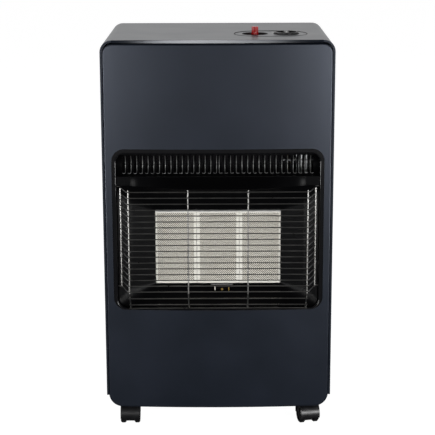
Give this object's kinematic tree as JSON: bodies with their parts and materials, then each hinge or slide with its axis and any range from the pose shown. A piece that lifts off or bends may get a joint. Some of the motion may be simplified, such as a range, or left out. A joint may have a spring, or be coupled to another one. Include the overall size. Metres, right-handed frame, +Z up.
{
  "type": "gas cabinet heater",
  "caption": "Floor-standing gas cabinet heater on swivel casters: radiant tile burner behind a wire guard, slatted outlet, top controls and rear bottle bay.",
  "frame": {"origin": "on the floor, at the centre of the whole heater's footprint box, rear cover and wire guard included", "axes": "+Z up, the front with the burner faces -Y, +X to the right as seen from the front"},
  "size_m": [0.42, 0.42, 0.743],
  "materials": {
    "powder_coat": "fine satin powder coat, navy graphite",
    "plain_steel": "bare pressed sheet steel",
    "black_enamel": "gloss black vitreous enamel",
    "plated_wire": "bright nickel-plated welded wire",
    "tile_ceramic": "perforated honeycomb plaque, matt",
    "aluminised_steel": "pressed aluminised steel",
    "brass": "machined",
    "die_cast_aluminium": "as cast",
    "gas_pipe": "drawn tube",
    "spring_steel": "drawn wire",
    "black_plastic": "fine-textured moulding",
    "red_plastic": "gloss moulding",
    "white_ceramic": "glazed",
    "silicone_lead": "silicone-covered lead",
    "zinc_plated_steel": "zinc plated",
    "caster_plastic": "semi-gloss moulding"
  },
  "bodies": {
    "cabinet": {"cabinet_wrap": "powder_coat", "front_panel": "powder_coat", "base_tray": "powder_coat", "heat_shield": "plain_steel", "surround_frame": "black_enamel", "louvre_grille": "black_enamel", "deflector_hood": "black_enamel", "reflector_pan": "black_enamel", "wire_guard": "plated_wire", "ceramic_tile_left": "tile_ceramic", "ceramic_tile_centre": "tile_ceramic", "ceramic_tile_right": "tile_ceramic", "tile_frame": "plain_steel", "burner_left": "aluminised_steel", "burner_centre": "aluminised_steel", "burner_right": "aluminised_steel", "burner_rails": "plain_steel", "injector_shelf": "plain_steel", "injector_left": "brass", "injector_centre": "brass", "injector_right": "brass", "gas_valve": "die_cast_aluminium", "hose_tail": "brass", "control_plate": "powder_coat", "valve_bracket": "plain_steel", "knob_spring": "spring_steel", "piezo_igniter": "black_plastic", "igniter_spring": "spring_steel", "pilot_bracket": "plain_steel", "pilot_burner": "brass", "spark_electrode": "white_ceramic", "feed_pipe_left": "gas_pipe", "feed_pipe_centre": "gas_pipe", "feed_pipe_right": "gas_pipe", "pilot_pipe": "gas_pipe", "thermocouple": "brass", "ignition_lead": "silicone_lead", "pipe_combs": "plain_steel", "caster_socket_front_left": "zinc_plated_steel", "caster_socket_front_right": "zinc_plated_steel", "caster_socket_rear_left": "zinc_plated_steel", "caster_socket_rear_right": "zinc_plated_steel"},
    "knob_spring_seat": {"spring_washer": "plain_steel"},
    "knob": {"control_knob": "black_plastic", "valve_spindle": "brass"},
    "igniter_button": {"igniter_button": "red_plastic"},
    "rear_cover": {"rear_cover": "powder_coat"},
    "caster_swivel_front_left": {"caster_hood_front_left": "caster_plastic"},
    "caster_roll_front_left": {"caster_axle_front_left": "zinc_plated_steel", "caster_wheels_front_left": "caster_plastic"},
    "caster_swivel_front_right": {"caster_hood_front_right": "caster_plastic"},
    "caster_roll_front_right": {"caster_axle_front_right": "zinc_plated_steel", "caster_wheels_front_right": "caster_plastic"},
    "caster_swivel_rear_left": {"caster_hood_rear_left": "caster_plastic"},
    "caster_roll_rear_left": {"caster_axle_rear_left": "zinc_plated_steel", "caster_wheels_rear_left": "caster_plastic"},
    "caster_swivel_rear_right": {"caster_hood_rear_right": "caster_plastic"},
    "caster_roll_rear_right": {"caster_axle_rear_right": "zinc_plated_steel", "caster_wheels_rear_right": "caster_plastic"}
  },
  "joints": [
    {"name": "knob_push", "type": "slide", "parent": "cabinet", "child": "knob_spring_seat", "axis": [0, 0, -1], "range_m": [0, 0.004], "stiffness_N_per_m": 900, "springref_m": -0.003, "deforming": ["knob_spring"]},
    {"name": "knob_turn", "type": "hinge", "parent": "knob_spring_seat", "child": "knob", "pos_m": [0.1275, -0.0505, 0.7275], "axis": [0, 0, -1], "range_deg": [0, 240]},
    {"name": "igniter_push", "type": "slide", "parent": "cabinet", "child": "igniter_button", "axis": [0, 0, -1], "range_m": [0, 0.006], "stiffness_N_per_m": 900, "springref_m": -0.003, "deforming": ["igniter_spring"]},
    {"name": "rear_cover_pull", "type": "slide", "parent": "cabinet", "child": "rear_cover", "axis": [0, 1, 0], "range_m": [0, 0.3]},
    {"name": "caster_swivel_front_left", "type": "hinge", "parent": "cabinet", "child": "caster_swivel_front_left", "pos_m": [-0.1677, -0.1285, 0.05], "axis": [0, 0, 1], "continuous": true},
    {"name": "wheel_roll_front_left", "type": "hinge", "parent": "caster_swivel_front_left", "child": "caster_roll_front_left", "pos_m": [-0.1677, -0.1385, 0.02], "axis": [1, 0, 0], "continuous": true},
    {"name": "caster_swivel_front_right", "type": "hinge", "parent": "cabinet", "child": "caster_swivel_front_right", "pos_m": [0.1677, -0.1285, 0.05], "axis": [0, 0, 1], "continuous": true},
    {"name": "wheel_roll_front_right", "type": "hinge", "parent": "caster_swivel_front_right", "child": "caster_roll_front_right", "pos_m": [0.16978, -0.13828, 0.02], "axis": [0.9781, 0.2079, 0], "continuous": true},
    {"name": "caster_swivel_rear_left", "type": "hinge", "parent": "cabinet", "child": "caster_swivel_rear_left", "pos_m": [-0.1677, 0.1265, 0.05], "axis": [0, 0, 1], "continuous": true},
    {"name": "wheel_roll_rear_left", "type": "hinge", "parent": "caster_swivel_rear_left", "child": "caster_roll_rear_left", "pos_m": [-0.1677, 0.1165, 0.02], "axis": [1, 0, 0], "continuous": true},
    {"name": "caster_swivel_rear_right", "type": "hinge", "parent": "cabinet", "child": "caster_swivel_rear_right", "pos_m": [0.1677, 0.1265, 0.05], "axis": [0, 0, 1], "continuous": true},
    {"name": "wheel_roll_rear_right", "type": "hinge", "parent": "caster_swivel_rear_right", "child": "caster_roll_rear_right", "pos_m": [0.1677, 0.1165, 0.02], "axis": [1, 0, 0], "continuous": true}
  ]
}
